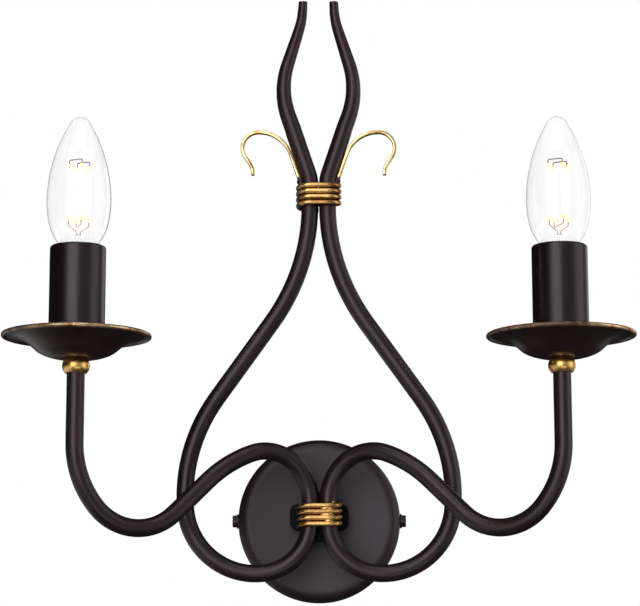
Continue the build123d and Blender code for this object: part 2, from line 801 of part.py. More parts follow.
def bent_wire(*points):
    path = FilletPolyline(*points, radius=lead_bend_r)
    return sweep(Plane(origin=path @ 0, z_dir=path % 0) * RegularPolygon(lead_r, lead_sides), path=path)


def link(a, b, z, hook):
    """Wire that joins the ends of two filaments at height z, by way of z + hook."""
    xa, ya = filament_place(a)
    xb, yb = filament_place(b)
    return bent_wire((xa, ya, z), (xa, ya, z + hook), (xb, yb, z + hook), (xb, yb, z))


def lead_wires():
    """Two leads up from the stem, a link across the bottom and two links across the top."""
    low, high = filament_low_z - lead_gap, filament_low_z + filament_length + lead_gap
    wires = [link(1, 3, low, -lead_hook), link(0, 1, high, lead_hook), link(2, 3, high, lead_hook)]
    for i in (0, 2):
        x, y = filament_place(i)
        root = lead_place(i)
        wires.append(bent_wire((*root, stem_top_z - lead_sink), (*root, stem_top_z + lead_rise),
                               (x, y, low - lead_hook), (x, y, low)))
    return Compound(children=wires)


# ---- all nodes ----------------------------------------------------------------------------------
nodes = {
    "wall_bracket": wall_bracket(),
    "backplate": backplate(),
    "mounting_block": mounting_block(),
    "block_screws": block_screws(),
    "terminal_block": terminal_block(),
    "terminal_tubes": terminal_tubes(),
    "terminal_screws": terminal_screws(),
    "terminal_fixing_screw": terminal_fixing(),
    "earth_screw": earth_screw(),
    "earth_washers": earth_washers(),
    "upper_binding": binding(upper_binding_z),
    "lower_binding": binding(lower_binding_z),
}
handed = {
    "arm": arm(), "bow": bow(), "curl": curl(), "side_washer": side_washer(), "side_screw": side_screw(),
}
on_candle = {
    "bead": bead(), "drip_pan": drip_pan(), "locknut": locknut(), "lampholder": lampholder(),
    "thread_shell": thread_shell(), "centre_contact": centre_contact(), "candle_sleeve": candle_sleeve(),
    "bulb_glass": bulb_glass(), "bulb_cap": bulb_cap(), "cap_insulator": cap_insulator(),
    "tip_contact": tip_contact(), "bulb_stem": bulb_stem(), "filaments": filaments(),
    "lead_wires": lead_wires(),
}
for name, shape in handed.items():
    nodes["right_" + name] = shape
    nodes["left_" + name] = mirror(shape, about=Plane.YZ)
for name, shape in on_candle.items():
    nodes["right_" + name] = Pos(candle_x, candle_y, pan_seat_z) * shape
    nodes["left_" + name] = Pos(-candle_x, candle_y, pan_seat_z) * shape

for name, shape in nodes.items():
    export_step(shape, "parts/" + name + ".step")
print(len(nodes), "nodes")
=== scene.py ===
import math
from collections import namedtuple
import bmesh
import bpy
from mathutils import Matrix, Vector, noise


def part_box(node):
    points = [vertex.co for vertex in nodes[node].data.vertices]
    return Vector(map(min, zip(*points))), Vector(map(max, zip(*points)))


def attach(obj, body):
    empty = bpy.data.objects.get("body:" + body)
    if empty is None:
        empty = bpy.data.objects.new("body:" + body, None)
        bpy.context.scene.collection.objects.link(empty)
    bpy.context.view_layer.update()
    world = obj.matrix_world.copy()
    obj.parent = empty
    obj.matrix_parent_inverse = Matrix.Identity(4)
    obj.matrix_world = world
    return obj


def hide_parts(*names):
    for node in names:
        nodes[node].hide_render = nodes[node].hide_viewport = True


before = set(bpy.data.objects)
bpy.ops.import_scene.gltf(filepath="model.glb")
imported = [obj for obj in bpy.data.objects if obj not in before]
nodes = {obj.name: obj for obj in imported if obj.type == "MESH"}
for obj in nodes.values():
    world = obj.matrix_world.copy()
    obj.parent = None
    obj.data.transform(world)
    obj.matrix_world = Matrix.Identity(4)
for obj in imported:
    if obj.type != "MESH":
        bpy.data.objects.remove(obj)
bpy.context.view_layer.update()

# ---- places, in metres, in the frame of the CAD: X right, Y into the wall, Z up ----------------
MM = 0.001
SIDES = (("left", -1), ("right", 1))


def box_of(node):
    """Lowest and highest corner of a CAD node, and the x, y and z of its middle."""
    low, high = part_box(node)
    return low, high, [(a + b) / 2 for a, b in zip(low, high)]


_, _, (CANDLE_X, CANDLE_Y, _) = box_of("right_bulb_glass")
pan_low, pan_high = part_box("right_drip_pan")
PAN_RIM = (pan_high.x - pan_low.x) / 2
filament_low, filament_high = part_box("right_filaments")

# where the black gives way to gold: from none of it to all of it
GILT_WIRE_Y = (-0.0508, -0.0530)     # front of the bindings
GLINTS_Z = (0.10, 0.12)              # the upper binding alone
STRIP_FOOT_Z = (0.2004, 0.2016)
BEAD_FOOT_Z = (0.0748, 0.0762)
# where the backplate's painted light runs from painted shade to a lighter face, and where the
# painted shade of its rim takes over
PLATE_PAINTED_LIGHT_X = (-0.040, 0.045)
PLATE_SHADED_RIM_R = (0.0410, 0.0445)


# ---- node helpers ------------------------------------------------------------------------------
class Nodes:
    """Short ways to add, set and join the nodes of one tree."""

    def __init__(self, tree):
        self.tree = tree

    def add(self, kind, **props):
        node = self.tree.nodes.new(kind)
        for key, value in props.items():
            setattr(node, key, value)
        return node

    def put(self, socket, value):
        """Join the socket to another one, or set it to a plain number, vector or colour."""
        if hasattr(value, "links"):
            self.tree.links.new(value, socket)
        elif socket.type == "RGBA":
            socket.default_value = (*value, 1.0)
        else:
            socket.default_value = value

    def maths(self, op, a, b=0.0, c=0.0, clamp=False):
        node = self.add("ShaderNodeMath", operation=op, use_clamp=clamp)
        for socket, value in zip(node.inputs, (a, b, c)):
            self.put(socket, value)
        return node.outputs[0]

    def times(self, a, b):
        return self.maths("MULTIPLY", a, b)

    def plus(self, a, b):
        return self.maths("ADD", a, b)

    def vary(self, value, gain, base):
        """The base, plus gain times the value."""
        return self.maths("MULTIPLY_ADD", value, gain, base)

    def most(self, first, *rest):
        """The largest of the values."""
        for value in rest:
            first = self.maths("MAXIMUM", first, value)
        return first

    def step(self, value, low, high, start=0.0, end=1.0):
        """Smooth change from start at low to end at high; low may be the larger."""
        node = self.add("ShaderNodeMapRange", interpolation_type="SMOOTHSTEP")
        self.put(node.inputs[0], value)
        if low > high:
            low, high, start, end = high, low, end, start
        for socket, number in zip(node.inputs[1:5], (low, high, start, end)):
            socket.default_value = number
        return node.outputs[0]


class Shader(Nodes):
    """A Principled material whose colour, roughness and bump come from procedural nodes."""
    SOCKETS = {"color": "Base Color", "metal": "Metallic", "rough": "Roughness", "normal": "Normal",
               "spec": "Specular IOR Level", "tint": "Specular Tint", "ior": "IOR",
               "glass": "Transmission Weight", "glow": "Emission Color",
               "glow_strength": "Emission Strength"}

    def __init__(self, name):
        self.mat = bpy.data.materials.new(name)
        self.mat.use_nodes = True
        super().__init__(self.mat.node_tree)
        self.bsdf = self.tree.nodes["Principled BSDF"]
        self.coord = self.add("ShaderNodeTexCoord").outputs["Object"]
        place = self.add("ShaderNodeSeparateXYZ")
        self.put(place.inputs[0], self.coord)
        self.x, self.y, self.z = place.outputs

    def set(self, **values):
        for key, value in values.items():
            self.put(self.bsdf.inputs[self.SOCKETS[key]], value)
        return self.mat

    def stretch(self, sx, sy, sz):
        node = self.add("ShaderNodeVectorMath", operation="MULTIPLY")
        self.put(node.inputs[0], self.coord)
        self.put(node.inputs[1], (sx, sy, sz))
        return node.outputs[0]

    def noise(self, scale, detail=3.0, rough=0.55, vector=None):
        node = self.add("ShaderNodeTexNoise")
        self.put(node.inputs["Vector"], vector or self.coord)
        for key, value in (("Scale", scale), ("Detail", detail), ("Roughness", rough)):
            self.put(node.inputs[key], value)
        return node.outputs[0]

    def cells(self, scale):
        node = self.add("ShaderNodeTexVoronoi")
        self.put(node.inputs["Vector"], self.coord)
        self.put(node.inputs["Scale"], scale)
        return node.outputs[0]

    def mix(self, factor, a, b):
        """Colour a where the factor is 0, b where it is 1."""
        node = self.add("ShaderNodeMix", data_type="RGBA")
        for i, value in ((0, factor), (6, a), (7, b)):
            self.put(node.inputs[i], value)
        return node.outputs[2]

    def blend(self, factor, a, b):
        """Number a where the factor is 0, b where it is 1."""
        node = self.add("ShaderNodeMix", data_type="FLOAT")
        for i, value in ((0, factor), (2, a), (3, b)):
            self.put(node.inputs[i], value)
        return node.outputs[0]

    def bump(self, height, distance, strength, under=None):
        """Relief of that many millimetres, over another relief if one is given."""
        node = self.add("ShaderNodeBump")
        self.put(node.inputs["Strength"], strength)
        self.put(node.inputs["Distance"], distance * MM)
        self.put(node.inputs["Height"], height)
        if under is not None:
            self.put(node.inputs["Normal"], under)
        return node.outputs[0]

    def distance(self, a, b):
        """Distance from the origin of a place given by two coordinates."""
        return self.maths("SQRT", self.plus(self.times(a, a), self.times(b, b)))

    def radius(self, x, y):
        """Distance from the upright axis through x, y."""
        return self.distance(self.maths("SUBTRACT", self.x, x), self.maths("SUBTRACT", self.y, y))


# ---- colours -----------------------------------------------------------------------------------
INK = (0.0110, 0.0040, 0.0055)
INK_LIGHT = (0.0180, 0.0085, 0.0105)
INK_DARK = (0.0055, 0.0016, 0.0024)
INK_SHEEN = (1.0, 0.80, 0.85)
PAN_INKS = ((0.0190, 0.0068, 0.0074), (0.0290, 0.0118, 0.0122))
# the block's black, deepened by painted shade
BLOCK_BLACKS_AND_SHADE = ((0.0016, 0.0008, 0.0010), (0.0040, 0.0025, 0.0030))
SLEEVE_INKS = (INK_DARK, (0.0085, 0.0032, 0.0045))
SLEEVE_SHEEN = (1.0, 0.86, 0.90)
# the backplate's greys: painted shade to its upper left, painted light to its lower right
PLATE_SHADE_TO_LIGHT = ((0.0085, 0.0050, 0.0068), (0.043, 0.033, 0.039))
PLATE_SHEEN = (1.0, 0.86, 0.93)

# each gold is deep where it is rubbed thin, then middle, then pale on its high spots
GOLD_DEEP = (0.27, 0.115, 0.025)
GOLD_PALE = (0.92, 0.68, 0.33)
PAN_GOLDS = (GOLD_DEEP, (0.70, 0.49, 0.28), (0.80, 0.67, 0.50))
WIRE_GOLDS = (GOLD_DEEP, (0.78, 0.49, 0.18), GOLD_PALE)
BEAD_GOLDS = ((0.56, 0.28, 0.070), (0.92, 0.545, 0.170), GOLD_PALE)
STRIP_BRASS = ((0.84, 0.62, 0.29), (0.48, 0.30, 0.10))      # bright, tarnished

GLASS_TINT = (0.994, 0.988, 0.989)
STEM_TINT = (0.97, 0.98, 0.98)
ROD_COLORS = ((0.9, 0.66, 0.16), (0.95, 0.78, 0.30))
GLOW_YELLOW = (1.0, 0.86, 0.30)
GLOW_WHITE = (1.0, 0.95, 0.74)
LEAD_COPPER, LEAD_NICKEL = (0.52, 0.39, 0.33), (0.12, 0.105, 0.09)


# ---- materials ---------------------------------------------------------------------------------
Coat = namedtuple("Coat", "shade slow fine height")


def paint_layers(s, scale=1.0, inks=(INK, INK_LIGHT)):
    """Satin stove paint: slow changes of shade, fine orange peel and a few denser specks."""
    slow = s.noise(38 * scale, 4)
    fine = s.noise(1500 * scale, 2, 0.5)
    grit = s.step(s.cells(700 * scale), 0.10, 0.02)
    shade = s.mix(s.step(slow, 0.35, 0.68), *inks)
    shade = s.mix(s.times(grit, 0.35), shade, INK_DARK)
    return Coat(shade, slow, fine, s.plus(s.times(fine, 0.8), s.times(grit, 0.25)))


def paint(name, rough=0.33):
    """The satin black of the ironwork, with faint sags under its orange peel."""
    s = Shader(name)
    coat = paint_layers(s)
    gloss = s.plus(s.vary(coat.slow, 0.14, rough - 0.07), s.times(coat.fine, 0.05))
    sags = s.bump(s.noise(90, 2), 0.4, 0.12)
    return s.set(color=coat.shade, rough=gloss, tint=INK_SHEEN,
                 normal=s.bump(coat.height, 0.06, 0.5, sags))


def shaded_black_finish(name):
    """Dull black of the block, darker than the ironwork's paint: its own black with painted shade,
    the shade of the tubes in front of it.
    """
    s = Shader(name)
    # painted shade: colours darker than the ironwork's black stand in for the tubes' shade
    cloud = s.step(s.noise(120, 4), 0.4, 0.7)
    fine = s.noise(1400, 3, 0.6)
    return s.set(color=s.mix(cloud, *BLOCK_BLACKS_AND_SHADE), rough=s.vary(fine, 0.2, 0.40), spec=0.06,
                 normal=s.bump(fine, 0.08, 0.6))


def gilded(s, mask, coat, gloss, golds, bare=(0.30, 0.56), relief=0.55, along=(1, 1, 1)):
    """Antique gold rubbed over the black paint where the mask is 1."""
    deep, middle, pale = golds
    streak = s.noise(170, 4, 0.6, s.stretch(*along))
    blotch = s.noise(900, 3, 0.6)
    gold = s.mix(s.step(streak, *bare), deep, middle)
    gold = s.mix(s.times(s.step(blotch, 0.50, 0.75), 0.4), gold, pale)
    raised = s.plus(coat.height, s.times(s.times(blotch, mask), 0.7))
    return s.set(color=s.mix(mask, coat.shade, gold), metal=mask, tint=INK_SHEEN,
                 rough=s.blend(mask, gloss, s.vary(blotch, 0.18, 0.20)),
                 normal=s.bump(raised, 0.07, relief))


def pan_paint(name, x, y):
    """Brown-black pan, its rolled rim rubbed with gold that thins out unevenly to the left."""
    s = Shader(name)
    coat = paint_layers(s, inks=PAN_INKS)
    r = s.radius(x, y)
    uneven = s.noise(60, 3, 0.6)
    patches = s.noise(22, 1, 0.5)
    edge = s.vary(uneven, 1.6 * MM, PAN_RIM - 2.6 * MM)
    line = s.step(s.maths("SUBTRACT", r, edge), 0.0, 0.9 * MM)
    specks = s.step(s.noise(1300, 3, 0.7), 0.66, 0.70)
    near_rim = s.step(r, PAN_RIM - 5 * MM, PAN_RIM - 2 * MM)
    rightward = s.times(s.maths("SUBTRACT", s.x, x), 5.0)
    rubbed = s.step(s.plus(s.vary(uneven, 0.8, patches), rightward), 0.74, 1.06)
    mask = s.most(s.times(line, s.vary(rubbed, 0.82, 0.12)), s.times(specks, near_rim))
    return gilded(s, mask, coat, s.vary(coat.slow, 0.12, 0.24), PAN_GOLDS)


def brass_binding(name):
    """Wire gilded on its front and right; its left ends and the grooves stay dark."""
    s = Shader(name)
    coat = paint_layers(s)
    ragged = s.noise(420, 3, 0.6)
    turned_right = s.vary(s.most(s.x, 0.0), -0.55, s.y)
    front = s.step(s.vary(ragged, 1.4 * MM, turned_right), *GILT_WIRE_Y)
    glints = s.times(s.step(s.z, *GLINTS_Z), s.step(s.noise(600, 2), 0.45, 0.60))
    thin = s.step(s.noise(700, 4, 0.7), 0.26, 0.40)
    mask = s.times(s.most(front, s.times(glints, 0.55)), s.vary(thin, 0.30, 0.70))
    return gilded(s, mask, coat, 0.34, WIRE_GOLDS, (0.34, 0.60), 0.2, (0.25, 1, 1))


def brass_strip(name):
    """Drawn brass strip with fine lines along it, blackened at its foot."""
    s = Shader(name)
    coat = paint_layers(s)
    mask = s.step(s.vary(s.noise(500, 3, 0.6), 1.6 * MM, s.z), *STRIP_FOOT_Z)
    tarnish = s.step(s.noise(120, 3, 0.6), 0.40, 0.66)
    drawn = s.noise(700, 2, 0.5, s.stretch(1, 3.5, 1))
    return s.set(color=s.mix(mask, coat.shade, s.mix(tarnish, *STRIP_BRASS)), metal=mask,
                 rough=s.blend(mask, 0.42, s.vary(drawn, 0.12, 0.17)),
                 normal=s.bump(drawn, 0.03, 0.35))


def brass_bead(name):
    """Turned bead with faint rings, gold down to the dark left in its lower edge."""
    s = Shader(name)
    coat = paint_layers(s)
    mask = s.step(s.vary(s.noise(350, 3, 0.6), 1.4 * MM, s.z), *BEAD_FOOT_Z)
    rings = s.add("ShaderNodeTexWave", wave_type="BANDS", bands_direction="Z")
    for key, value in (("Vector", s.coord), ("Scale", 620), ("Distortion", 1.2)):
        s.put(rings.inputs[key], value)
    ringed = coat._replace(height=s.plus(coat.height, s.times(rings.outputs[1], 0.18)))
    return gilded(s, s.vary(mask, 0.92, 0.08), ringed, 0.42, BEAD_GOLDS, (0.28, 0.50), 0.22)


def sleeve_paint(name):
    """Candle sleeve of glossy moulded plastic with faint draw lines."""
    s = Shader(name)
    lines = s.noise(60, 3, 0.5, s.stretch(14, 14, 0.6))
    fine = s.noise(1900, 2)
    cloud = s.step(s.noise(45, 3), 0.35, 0.7)
    return s.set(color=s.mix(cloud, *SLEEVE_INKS), rough=s.vary(lines, 0.10, 0.27),
                 tint=SLEEVE_SHEEN, normal=s.bump(fine, 0.03, 0.4, s.bump(lines, 0.12, 0.15)))


def plate_paint(name):
    """The plate's paint is greyer and flatter than the tubes', with painted light: darker to its
    upper left and lighter to its lower right, and painted shade in the ironwork's ink on its rolled
    rim.
    """
    s = Shader(name)
    coat = paint_layers(s, 0.9)
    # painted light: the face is darker to the upper left and lighter to the lower right
    across = s.vary(coat.slow, 20 * MM, s.vary(s.z, -0.25, s.x))
    painted_light_greys = s.mix(s.step(across, *PLATE_PAINTED_LIGHT_X), *PLATE_SHADE_TO_LIGHT)
    # painted shade: the rolled rim takes the ironwork's darker ink
    rim = s.step(s.distance(s.x, s.z), *PLATE_SHADED_RIM_R)
    return s.set(color=s.mix(rim, painted_light_greys, coat.shade), rough=s.vary(coat.slow, 0.10, 0.41),
                 tint=PLATE_SHEEN, normal=s.bump(coat.height, 0.06, 0.45))


def metal(name, color, dark, rough, along=(1, 1, 1)):
    """Plated or plain metal with brushed lines and stains."""
    s = Shader(name)
    lines = s.noise(500, 3, 0.5, s.stretch(*along))
    stain = s.step(s.noise(140, 4, 0.6), 0.42, 0.72)
    return s.set(color=s.mix(stain, color, dark), metal=1.0, rough=s.vary(lines, 0.22, rough),
                 normal=s.bump(lines, 0.04, 0.35))


def plastic(name, color, dark, rough):
    """Moulded part with a cloudy shade and a fine grain."""
    s = Shader(name)
    cloud = s.noise(120, 4)
    return s.set(color=s.mix(s.step(cloud, 0.4, 0.75), color, dark),
                 rough=s.vary(cloud, 0.15, rough), normal=s.bump(s.noise(2200, 2), 0.03, 0.5))


def clear_glass(name, tint, streaks):
    """Blown glass: a little unevenness in the wall, drawn out upwards, bends what it shows."""
    s = Shader(name)
    wave = s.noise(55, 1, 0.4, s.stretch(1, 1, 0.25))
    film = s.noise(240, 2, 0.5, s.stretch(1, 1, 0.2))
    darker = tuple(c * streaks for c in tint)
    return s.set(color=s.mix(s.step(film, 0.40, 0.72), tint, darker),
                 rough=s.times(s.step(film, 0.55, 0.9), 0.02), glass=1.0, ior=1.36,
                 normal=s.bump(wave, 0.6, 0.10))


def lit_filament(name, low, high):
    """Phosphor rod, lit: white hot over its length and yellow where it fades at the ends."""
    s = Shader(name)
    grain = s.noise(2500, 2)
    starts, full = 1.4 * MM, 5.6 * MM
    hot = s.times(s.step(s.z, low + starts, low + full), s.step(s.z, high - starts, high - full))
    return s.set(color=s.mix(grain, *ROD_COLORS), rough=0.6,
                 glow=s.mix(hot, GLOW_YELLOW, GLOW_WHITE),
                 glow_strength=s.blend(hot, 0.95, s.vary(grain, 1.5, 3.0)),
                 normal=s.bump(grain, 0.05, 0.6))


def lead_metal(name, low, high):
    """Nickel wire that is copper clad near the stem."""
    s = Shader(name)
    grain = s.noise(900, 2)
    upper = s.step(s.vary(grain, 1 * MM, s.z), low, high)
    return s.set(color=s.mix(upper, LEAD_COPPER, LEAD_NICKEL), metal=1.0,
                 rough=s.vary(grain, 0.2, 0.28), normal=s.bump(grain, 0.04, 0.4))


BLACK = paint("iron_paint")
BRASS_WIRE = brass_binding("gilded_wire")
ZINC = metal("zinc", (0.62, 0.62, 0.60), (0.42, 0.42, 0.42), 0.32, (1, 6, 1))
BRASS = metal("shell_brass", (0.86, 0.62, 0.26), (0.55, 0.36, 0.13), 0.24, (1, 1, 8))
finish = {
    "arm": BLACK, "bow": BLACK,
    "mounting_block": shaded_black_finish("painted_shade_black_block"),
    "backplate": plate_paint("plate_paint"),
    "candle_sleeve": sleeve_paint("sleeve_plastic"),
    "side_washer": paint("washer_paint", 0.36),
    "side_screw": paint("screw_paint", 0.36),
    "curl": brass_strip("gilded_strip"),
    "bead": brass_bead("gilded_bead"),
    "upper_binding": BRASS_WIRE, "lower_binding": BRASS_WIRE,
    "bulb_glass": clear_glass("bulb_glass", GLASS_TINT, 0.975),
    "bulb_stem": clear_glass("stem_glass", STEM_TINT, 0.96),
    "bulb_cap": metal("cap_nickel", (0.75, 0.73, 0.69), (0.5, 0.48, 0.45), 0.22, (1, 1, 9)),
    "cap_insulator": plastic("insulator", (0.012, 0.012, 0.014), (0.02, 0.018, 0.018), 0.12),
    "tip_contact": metal("contact_solder", (0.72, 0.71, 0.70), (0.45, 0.44, 0.43), 0.35),
    "filaments": lit_filament("lit_filament", filament_low.z, filament_high.z),
    "lead_wires": lead_metal("lead_wire", filament_low.z - 2 * MM, filament_low.z + 1 * MM),
    "lampholder": plastic("holder_phenolic", (0.80, 0.78, 0.71), (0.68, 0.65, 0.57), 0.45),
    "terminal_block": plastic("terminal_nylon", (0.83, 0.82, 0.77), (0.72, 0.71, 0.66), 0.42),
    "locknut": ZINC, "wall_bracket": ZINC, "block_screws": ZINC, "terminal_screws": ZINC,
    "terminal_fixing_screw": ZINC,
    "thread_shell": BRASS, "centre_contact": BRASS, "terminal_tubes": BRASS,
    "earth_screw": BRASS, "earth_washers": BRASS,
}
pan_finish = {side: pan_paint("gilded_%s_pan" % side, way * CANDLE_X, CANDLE_Y)
              for side, way in SIDES}


def give(obj, material):
    obj.data.materials.clear()
    obj.data.materials.append(material)


for name, obj in nodes.items():
    side, _, kind = name.partition("_")
    if kind == "drip_pan":
        give(obj, pan_finish[side])
    else:
        give(obj, finish[kind if side in pan_finish else name])


# ---- pieces with more form than their solids ---------------------------------------------------
SHARP_ANGLE = 42          # degrees: edges that turn by more stay sharp
ROUNDED_ANGLE = 38        # degrees: edges that turn by more are rounded over
FLAT_ANGLE = 0.5          # degrees: faces that differ by less are one
SAME_CORNER = 1e-6        # metres: corners of a CAD mesh that lie closer are one
SAME_POINT = 1e-7         # metres: the same for the points of a skin
SWELL, RIPPLE = 1.7, 4.1  # how closely a lump's broad and fine unevenness follow each other


def add_mesh(name, bm, body, material):
    mesh = bpy.data.meshes.new(name)
    bm.normal_update()
    bm.to_mesh(mesh)
    bm.free()
    obj = bpy.data.objects.new(name, mesh)
    bpy.context.scene.collection.objects.link(obj)
    smooth(obj)
    give(obj, material)
    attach(obj, body)
    return obj


def smooth(obj):
    obj.data.polygons.foreach_set("use_smooth", [True] * len(obj.data.polygons))
    obj.data.set_sharp_from_angle(angle=math.radians(SHARP_ANGLE))


def solid_mesh(node):
    """The CAD node's mesh with its flat faces made whole."""
    bm = bmesh.new()
    bm.from_mesh(nodes[node].data)
    bmesh.ops.remove_doubles(bm, verts=bm.verts, dist=SAME_CORNER)
    bmesh.ops.dissolve_limit(bm, angle_limit=math.radians(FLAT_ANGLE), verts=bm.verts,
                             edges=bm.edges)
    return bm


def softened(node, width, material, segments=3):
    """The node's own shape with its sharp edges rounded over."""
    obj = add_mesh(node + "_rounded", solid_mesh(node), "lamp", material)
    bevel = obj.modifiers.new("round", "BEVEL")
    bevel.width = width
    bevel.segments = segments
    bevel.limit_method = "ANGLE"
    bevel.angle_limit = math.radians(ROUNDED_ANGLE)
    depsgraph = bpy.context.evaluated_depsgraph_get()
    mesh = bpy.data.meshes.new_from_object(obj.evaluated_get(depsgraph))
    obj.modifiers.clear()
    obj.data = mesh
    smooth(obj)
    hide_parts(node)


def lump(bm, centre, radii, seed, rough=0.22, cuts=3):
    """A frozen run of braze or weld, given in millimetres: an uneven mound, not a ball."""
    made = bmesh.ops.create_icosphere(bm, subdivisions=cuts, radius=1.0)["verts"]
    for v in made:
        swell = 1.0 + rough * noise.noise(v.co * SWELL + Vector((seed, 0, 0)))
        swell += rough * 0.5 * noise.noise(v.co * RIPPLE + Vector((0, seed, 0)))
        v.co = Vector(c * swell * r * MM for c, r in zip(v.co, radii)) + Vector(centre) * MM


def angles(count):
    return [2 * math.pi * j / count for j in range(count)]


def thread_radius(turns, crest, root):
    """Rolled thread with rounded crests and roots; whole turns lie on a crest."""
    wave = 0.5 + 0.5 * math.cos(2 * math.pi * turns)
    return root + (crest - root) * wave * wave * (3 - 2 * wave)


def skin(bm, rings):
    """Faces between rings of points that follow each other."""
    grid = [[bm.verts.new(p) for p in ring] for ring in rings]
    for low, high in zip(grid, grid[1:]):
        for j in range(len(low)):
            k = (j + 1) % len(low)
            bm.faces.new((low[j], low[k], high[k], high[j]))
    return grid


def closed_skin(rings):
    """A closed sheet through the rings, from the last back to the first."""
    bm = bmesh.new()
    skin(bm, rings + rings[:1])
    bmesh.ops.remove_doubles(bm, verts=bm.verts, dist=SAME_POINT)
    bmesh.ops.recalc_face_normals(bm, faces=bm.faces)
    return bm


def spline(points, steps):
    """Smooth curve through the points."""
    ends = [2 * points[0] - points[1], *points, 2 * points[-1] - points[-2]]
    curve = []
    for a, b, c, d in zip(ends, ends[1:], ends[2:], ends[3:]):
        for k in range(steps):
            t = k / steps
            curve.append((2 * b + (c - a) * t + (2 * a - 5 * b + 4 * c - d) * t * t
                          + (3 * b - 3 * c + d - a) * t ** 3) / 2)
    return curve + [points[-1]]


def flared_pan(side):
    """Spun drip pan: a bowl that flares out in one long curve to a rim rolled over and down."""
    node = side + "_drip_pan"
    low, high, (cx, cy, _) = box_of(node)
    foot, rim_top = low.z / MM, high.z / MM
    bore_r, flat_r, flat_sheet = 5.15, 8.3, 1.0
    lip_r, lip_gap, sheet = 1.22, 0.1, 0.95
    lip_angles = range(-176, 150, 23)      # degrees round the lip, from its inner side
    around, steps = 112, 5
    hub = Vector((PAN_RIM / MM - lip_r, rim_top - lip_r))
    # underside: distance from the axis, and height over the foot
    under = ((bore_r, 0), (flat_r, 0), (12, 0.25), (16, 1.25), (19.5, 2.6), (22, 4.1), (24.5, 6.3),
             (27.5, 8.7), (31, 10.6), (34.5, 11.9), (hub.x - lip_r - lip_gap, 12.6))
    under = spline([Vector((r, foot + z)) for r, z in under], steps)
    over = []
    for a, b, c in zip(under, under[1:], under[2:]):
        along = (c - a).normalized()
        over.append(b + Vector((-along.y, along.x)) * sheet)
    lip = [hub + lip_r * Vector((math.cos(math.radians(a)), math.sin(math.radians(a))))
           for a in lip_angles]
    outline = [*under, *lip, *reversed(over[1:]), Vector((flat_r, foot + flat_sheet)),
               Vector((bore_r, foot + flat_sheet))]
    rings = [[(cx + p.x * MM * math.cos(a), cy + p.x * MM * math.sin(a), p.y * MM)
              for a in angles(around)] for p in outline]
    obj = add_mesh(side + "_flared_pan", closed_skin(rings), "lamp", pan_finish[side])
    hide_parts(node)


def rolled_cap(side):
    """Bulb cap of thin sheet: a cone, a rolled thread and a plain skirt with a crimped edge."""
    node = side + "_bulb_cap"
    low, high, (cx, cy, _) = box_of(node)
    crest, root, cone_r, wall, pitch = (v * MM for v in (6.93, 6.25, 4.7, 0.28, 2.82))
    thread_fades_in, thread_fades_out = 1.2 * MM, 0.8 * MM
    crimp, crimp_height = 0.25 * MM, 0.9 * MM
    cone_height, skirt_height = 1.5 * MM, 4.2 * MM
    cone, skirt = low.z + cone_height, high.z - skirt_height
    around, levels = 44, 72

    def radius(z, angle):
        if z < cone:
            return cone_r + (root - cone_r) * math.sin((z - low.z) / (cone - low.z) * math.pi / 2)
        fade = min(1.0, (z - cone) / thread_fades_in)
        if z > skirt:
            fade = max(0.0, 1 - (z - skirt) / thread_fades_out)
        plain = root if z < skirt else crest - (crimp if high.z - z < crimp_height else 0.0)
        thread = thread_radius((z - cone) / pitch - angle / (2 * math.pi), crest, root)
        return plain + fade * (thread - plain)

    def ring(z, inset):
        return [(cx + (radius(z, a) - inset) * math.cos(a),
                 cy + (radius(z, a) - inset) * math.sin(a), z) for a in angles(around)]

    heights = [low.z + (high.z - low.z) * i / levels for i in range(levels + 1)]
    outer = [ring(z, 0) for z in heights]
    inner = [ring(z, wall) for z in reversed(heights)]
    obj = add_mesh(side + "_rolled_cap", closed_skin(outer + inner), side + "_bulb",
                   finish["bulb_cap"])
    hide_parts(node)


def threaded_screw(side, way):
    """The CAD screw's head on a shaft with a cut thread and a chamfered point."""
    node = side + "_side_screw"
    low, high, (_, cy, cz) = box_of(node)
    head_height, overlap = 2.4 * MM, 0.02 * MM
    crest, root, pitch, length = (v * MM for v in (2.0, 1.62, 0.7, 12.0))
    thread_fades_in, point, point_slope = 0.8 * MM, 0.35 * MM, 0.9 * MM
    around, levels = 20, 136
    seat = (high.x if way > 0 else low.x) - way * head_height
    bm = solid_mesh(node)
    bmesh.ops.bisect_plane(bm, geom=bm.verts[:] + bm.edges[:] + bm.faces[:], clear_inner=True,
                           plane_co=(seat - way * overlap, 0, 0), plane_no=(way, 0, 0))

    def ring(t):
        grip = min(1.0, t / thread_fades_in)
        taper = 1 - max(0.0, t - (length - point)) / point_slope
        points = []
        for a in angles(around):
            thread = thread_radius(t / pitch + a / (2 * math.pi), crest, root)
            r = crest + grip * (thread - crest)
            points.append((seat - way * t, cy + way * r * taper * math.cos(a),
                           cz + r * taper * math.sin(a)))
        return points

    grid = skin(bm, [ring(length * i / levels) for i in range(levels + 1)])
    bm.faces.new(grid[-1])
    bmesh.ops.recalc_face_normals(bm, faces=bm.faces)
    obj = add_mesh(side + "_threaded_screw", bm, side + "_screw", finish["side_screw"])
    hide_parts(node)


for side, way in SIDES:
    flared_pan(side)
    rolled_cap(side)
    threaded_screw(side, way)
    softened(side + "_curl", 0.45 * MM, finish["curl"])
softened("mounting_block", 0.7 * MM, finish["mounting_block"])
softened("wall_bracket", 0.25 * MM, finish["wall_bracket"], 2)

# welds at the curls' feet: place and radii in millimetres, on the right side, and seed
CURL_WELDS = (((10.9, -47.2, 197.9), (1.9, 2.0, 2.7), 3),
              ((10.4, -48.4, 196.3), (1.6, 1.3, 1.5), 8))
welds = bmesh.new()
for _, way in SIDES:
    for (x, y, z), radii, seed in CURL_WELDS:
        lump(welds, (way * x, y, z), radii, seed + way)
add_mesh("curl_welds", welds, "lamp", BLACK)

